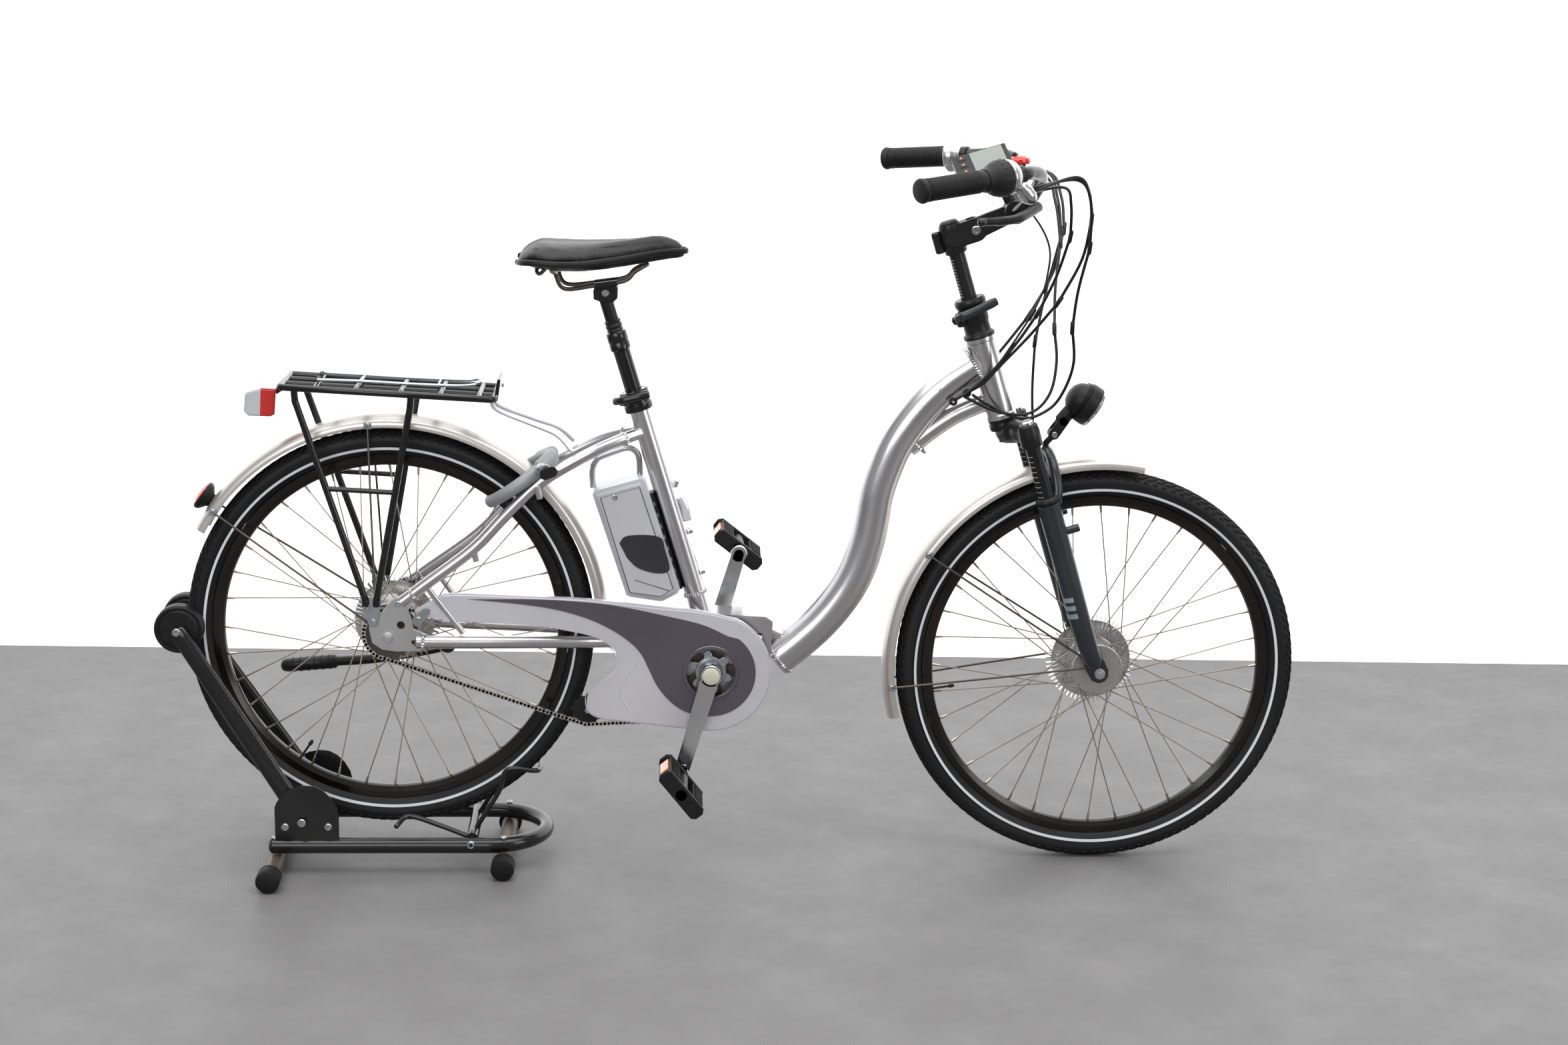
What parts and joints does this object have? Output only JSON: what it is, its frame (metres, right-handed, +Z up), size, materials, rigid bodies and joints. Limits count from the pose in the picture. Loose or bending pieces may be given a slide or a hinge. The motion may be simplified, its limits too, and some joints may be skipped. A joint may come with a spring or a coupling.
{
  "type": "bicycle on floor stand",
  "caption": "Low-step electric city bicycle with carrier, mudguards, chain guard and ring lock, held by its rear wheel in a tubular floor stand.",
  "frame": {"origin": "middle of the whole object's footprint, on the floor", "axes": "+X forwards, +Y to the rider's left, +Z up"},
  "size_m": [1.8416, 0.6354, 1.1768],
  "materials": {
    "black_enamel": "gloss black",
    "black_plastic": "moulded",
    "brushed_frame": "clear-coated bare silver",
    "cast_alloy": "cast",
    "chain_steel": "oiled",
    "fork_grey": "dark grey",
    "grip_rubber": "ribbed",
    "lamp_lens": "red lens",
    "lock_grey": "grey",
    "mudguard_silver": "champagne silver",
    "rim_black": "black anodised",
    "saddle_leather": "black cover",
    "silver_cover": "silver lacquered plastic",
    "tyre_rubber": "treaded rubber",
    "worn_stand_tube": "worn brown-black",
    "zinc_steel": "zinc plated"
  },
  "bodies": {
    "stand": {"stand_base": "black_enamel", "stand_rear_foot": "worn_stand_tube", "stand_front_foot": "worn_stand_tube"},
    "stand_arms": {"stand_arms": "black_enamel"},
    "roller_right": {"stand_roller_right": "black_plastic"},
    "roller_left": {"stand_roller_left": "black_plastic"},
    "wheel_cradle": {"wheel_cradle": "black_enamel"},
    "frame": {"frame": "brushed_frame", "motor_unit": "cast_alloy", "chain_guard": "silver_cover", "chain": "chain_steel", "seat_clamp": "black_enamel", "carrier": "black_enamel", "rear_lamp": "lamp_lens", "rear_mudguard": "mudguard_silver", "ring_lock": "lock_grey", "gear_cable": "grip_rubber", "brake_cable": "grip_rubber"},
    "battery": {"battery": "silver_cover", "battery_handle": "cast_alloy"},
    "seatpost": {"seatpost": "black_enamel"},
    "saddle": {"seatpost_top": "black_enamel", "saddle_rails": "black_enamel", "saddle": "saddle_leather"},
    "seat_clamp_lever": {"seat_clamp_lever": "black_enamel"},
    "carrier_clip": {"carrier_clip": "zinc_steel"},
    "lock_shackle": {"lock_shackle": "zinc_steel"},
    "kickstand": {"kickstand": "black_enamel"},
    "rear_wheel": {"rear_tyre": "tyre_rubber", "rear_rim": "rim_black", "rear_hub": "cast_alloy", "rear_brake_disc": "cast_alloy"},
    "rear_sprocket": {"rear_sprocket": "chain_steel"},
    "tensioner": {"tensioner_pulley": "black_plastic"},
    "crank": {"chainring": "zinc_steel", "crank_right": "cast_alloy", "crank_left": "cast_alloy"},
    "pedal_right": {"pedal_right": "black_plastic"},
    "pedal_left": {"pedal_left": "black_plastic"},
    "fork": {"fork_crown": "black_enamel", "height_clamp": "black_enamel"},
    "height_lever": {"height_lever": "black_enamel"},
    "headlight": {"headlight": "black_plastic"},
    "fork_lowers": {"fork_lowers": "fork_grey", "front_mudguard": "mudguard_silver"},
    "front_wheel": {"front_tyre": "tyre_rubber", "front_rim": "rim_black", "front_hub": "cast_alloy", "front_brake_disc": "cast_alloy"},
    "bar_post": {"bar_post": "black_enamel"},
    "handlebar": {"stem_arm": "black_enamel", "handlebar": "black_enamel", "grip_right": "grip_rubber", "grip_left": "grip_rubber", "right_lever_mount": "silver_cover", "left_lever_mount": "silver_cover", "display": "black_plastic"},
    "twist_shifter": {"twist_shifter": "grip_rubber"},
    "right_brake_lever": {"right_brake_lever": "black_enamel"},
    "left_brake_lever": {"left_brake_lever": "black_enamel"}
  },
  "joints": [
    {"name": "bike_lift", "type": "slide", "parent": "stand", "child": "frame", "axis": [0, 0, 1], "range_m": [0, 0.4]},
    {"name": "arm_fold", "type": "hinge", "parent": "stand", "child": "stand_arms", "pos_m": [-0.68725, 0, 0.0884], "axis": [0, -1, 0], "range_deg": [0, 60]},
    {"name": "roller_right_spin", "type": "hinge", "parent": "stand_arms", "child": "roller_right", "pos_m": [-0.88185, -0.03825, 0.393], "axis": [0, 1, 0], "continuous": true},
    {"name": "roller_left_spin", "type": "hinge", "parent": "stand_arms", "child": "roller_left", "pos_m": [-0.88185, 0.03825, 0.393], "axis": [0, 1, 0], "continuous": true},
    {"name": "cradle_rock", "type": "hinge", "parent": "stand", "child": "wheel_cradle", "pos_m": [-0.41825, 0, 0.052], "axis": [0, 1, 0], "range_deg": [0, 25]},
    {"name": "rear_wheel_spin", "type": "hinge", "parent": "frame", "child": "rear_wheel", "pos_m": [-0.54854, 0, 0.3867], "axis": [0, 1, 0], "continuous": true},
    {"name": "sprocket_spin", "type": "hinge", "parent": "frame", "child": "rear_sprocket", "pos_m": [-0.54854, -0.047, 0.3867], "axis": [0, 1, 0], "continuous": true},
    {"name": "tensioner_spin", "type": "hinge", "parent": "frame", "child": "tensioner", "pos_m": [-0.23272, -0.047, 0.26178], "axis": [0, 1, 0], "continuous": true},
    {"name": "crank_spin", "type": "hinge", "parent": "frame", "child": "crank", "pos_m": [-0.03491, 0, 0.32839], "axis": [0, 1, 0], "continuous": true},
    {"name": "pedal_right_spin", "type": "hinge", "parent": "crank", "child": "pedal_right", "pos_m": [-0.08217, -0.14, 0.16509], "axis": [0, 1, 0], "continuous": true},
    {"name": "pedal_left_spin", "type": "hinge", "parent": "crank", "child": "pedal_left", "pos_m": [0.01234, 0.14, 0.49169], "axis": [0, 1, 0], "continuous": true},
    {"name": "kickstand_fold", "type": "hinge", "parent": "frame", "child": "kickstand", "pos_m": [-0.46621, 0.086, 0.33426], "axis": [0, -1, 0], "range_deg": [0, 72]},
    {"name": "battery_release", "type": "slide", "parent": "frame", "child": "battery", "axis": [-0.2917, 0, 0.9565], "range_m": [0, 0.028]},
    {"name": "seat_height", "type": "slide", "parent": "frame", "child": "seatpost", "axis": [-0.2917, 0, 0.9565], "range_m": [-0.05, 0.1]},
    {"name": "seat_suspension", "type": "slide", "parent": "seatpost", "child": "saddle", "axis": [0.2917, 0, -0.9565], "range_m": [0, 0.02], "stiffness_N_per_m": 8000, "springref_m": -0.02},
    {"name": "seat_clamp_swing", "type": "hinge", "parent": "frame", "child": "seat_clamp_lever", "pos_m": [-0.18871, -0.014, 0.76065], "axis": [0, -1, 0], "range_deg": [0, 100]},
    {"name": "carrier_clip_lift", "type": "hinge", "parent": "frame", "child": "carrier_clip", "pos_m": [-0.65505, 0, 0.79492], "axis": [0, -1, 0], "range_deg": [0, 70], "stiffness_Nm_per_rad": 0.3, "springref_deg": -34.38},
    {"name": "lock_close", "type": "hinge", "parent": "frame", "child": "lock_shackle", "pos_m": [-0.34243, 0, 0.63242], "axis": [-0.5802, 0, 0.8145], "range_deg": [0, 66], "stiffness_Nm_per_rad": 0.15, "springref_deg": -22.92},
    {"name": "steering", "type": "hinge", "parent": "frame", "child": "fork", "pos_m": [0.38922, 0, 0.86666], "axis": [-0.2917, 0, 0.9565], "range_deg": [-50, 50], "deforming": ["gear_cable", "brake_cable"]},
    {"name": "height_lever_swing", "type": "hinge", "parent": "fork", "child": "height_lever", "pos_m": [0.3521, -0.026, 0.89925], "axis": [0.2917, 0, -0.9565], "range_deg": [0, 100]},
    {"name": "headlight_tilt", "type": "hinge", "parent": "fork_lowers", "child": "headlight", "pos_m": [0.51322, 0, 0.71057], "axis": [0, 1, 0], "range_deg": [-20, 20]},
    {"name": "fork_travel", "type": "slide", "parent": "fork", "child": "fork_lowers", "axis": [-0.2917, 0, 0.9565], "range_m": [0, 0.04], "stiffness_N_per_m": 6000, "springref_m": -0.02},
    {"name": "front_wheel_spin", "type": "hinge", "parent": "fork_lowers", "child": "front_wheel", "pos_m": [0.59484, 0, 0.326], "axis": [0, 1, 0], "continuous": true},
    {"name": "bar_height", "type": "slide", "parent": "fork", "child": "bar_post", "axis": [-0.2917, 0, 0.9565], "range_m": [0, 0.07]},
    {"name": "stem_angle", "type": "hinge", "parent": "bar_post", "child": "handlebar", "pos_m": [0.37626, 0, 1.03759], "axis": [0, 1, 0], "range_deg": [-20, 20]},
    {"name": "twist_shift", "type": "hinge", "parent": "handlebar", "child": "twist_shifter", "pos_m": [0.35905, -0.23682, 1.13357], "axis": [0.8368, 0.5407, 0.0859], "range_deg": [0, 120]},
    {"name": "right_brake_pull", "type": "hinge", "parent": "handlebar", "child": "right_brake_lever", "pos_m": [0.44977, -0.19703, 1.09339], "axis": [-0.5268, 0.4199, -0.739], "range_deg": [0, 12], "stiffness_Nm_per_rad": 0.5, "springref_deg": -17.19},
    {"name": "left_brake_pull", "type": "hinge", "parent": "handlebar", "child": "left_brake_lever", "pos_m": [0.41596, 0.21887, 1.08992], "axis": [0.5268, 0.4199, 0.739], "range_deg": [0, 12], "stiffness_Nm_per_rad": 0.5, "springref_deg": -17.19}
  ],
  "couplings": [
    {"joint": "sprocket_spin", "follows": "crank_spin", "ratio": 2},
    {"joint": "tensioner_spin", "follows": "crank_spin", "ratio": 3.3333}
  ]
}
